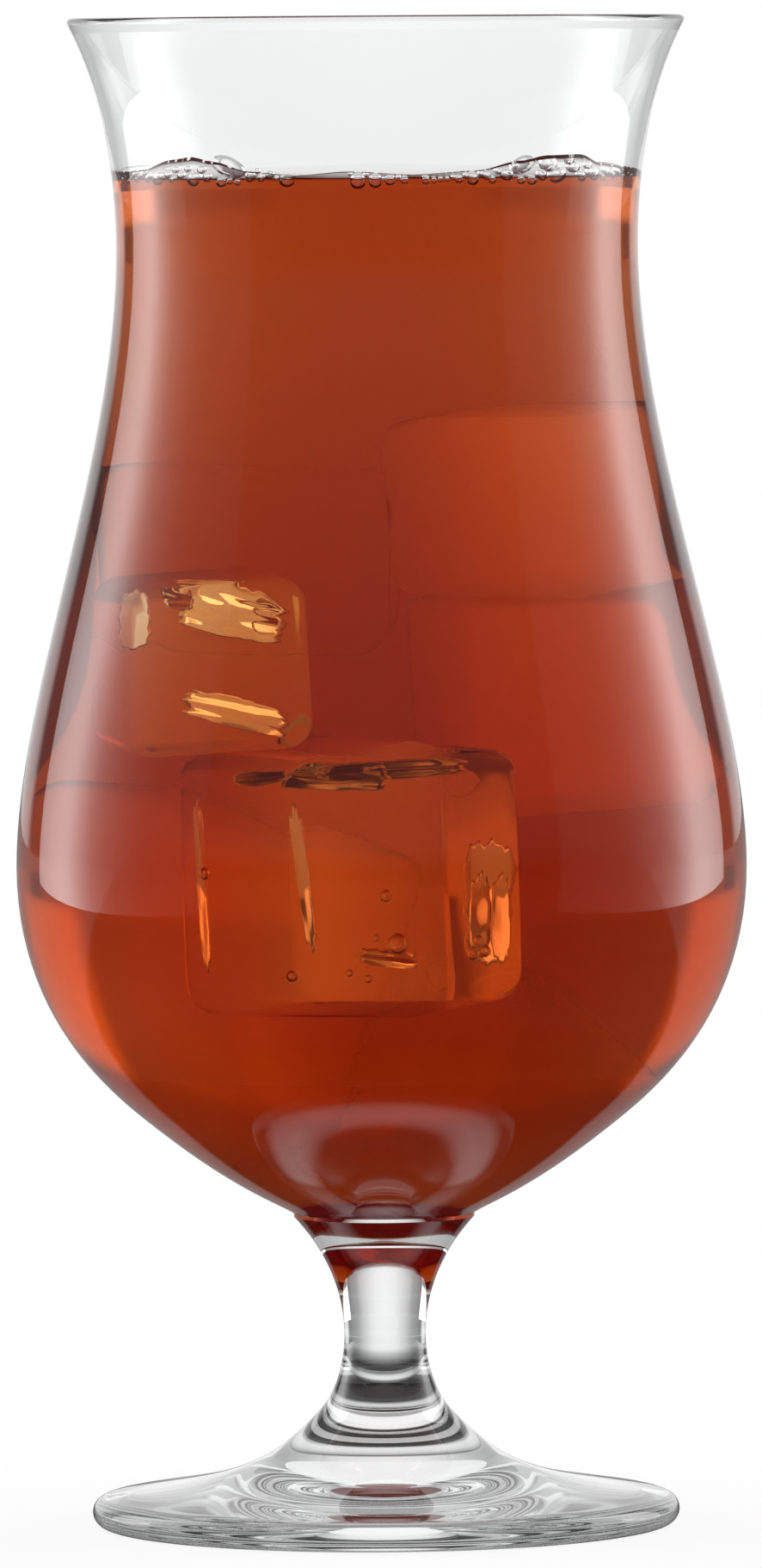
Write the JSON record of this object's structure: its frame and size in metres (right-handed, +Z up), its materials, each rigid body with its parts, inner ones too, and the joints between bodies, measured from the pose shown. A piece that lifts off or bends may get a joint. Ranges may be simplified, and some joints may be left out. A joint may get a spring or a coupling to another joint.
{
  "type": "hurricane glass",
  "caption": "Tall stemmed cocktail glass with a flared lip, narrow waist and round belly on a short stem and round foot, filled with a red-orange drink and clear ice.",
  "frame": {"origin": "centre of the foot's resting face, on the glass's own axis", "axes": "+Z up along the axis from the foot to the rim; -Y is the front, the side the picture shows; +X is to the right seen from the front"},
  "size_m": [0.0862, 0.0862, 0.178],
  "materials": {
    "clear_glass": "clear, fire-polished",
    "drink": "clear red-orange liquid, glossy",
    "ice": "clear, melted smooth",
    "froth": "thin clear film"
  },
  "bodies": {
    "root": {"bowl": "clear_glass", "stem": "clear_glass", "foot": "clear_glass", "drink": "drink", "ice_front": "ice", "ice_upper_left": "ice", "ice_upper_middle": "ice", "ice_upper_right": "ice", "ice_right": "ice", "ice_left": "ice", "ice_bottom": "ice", "froth_left": "froth", "froth_middle": "froth", "froth_right": "froth"}
  },
  "joints": []
}
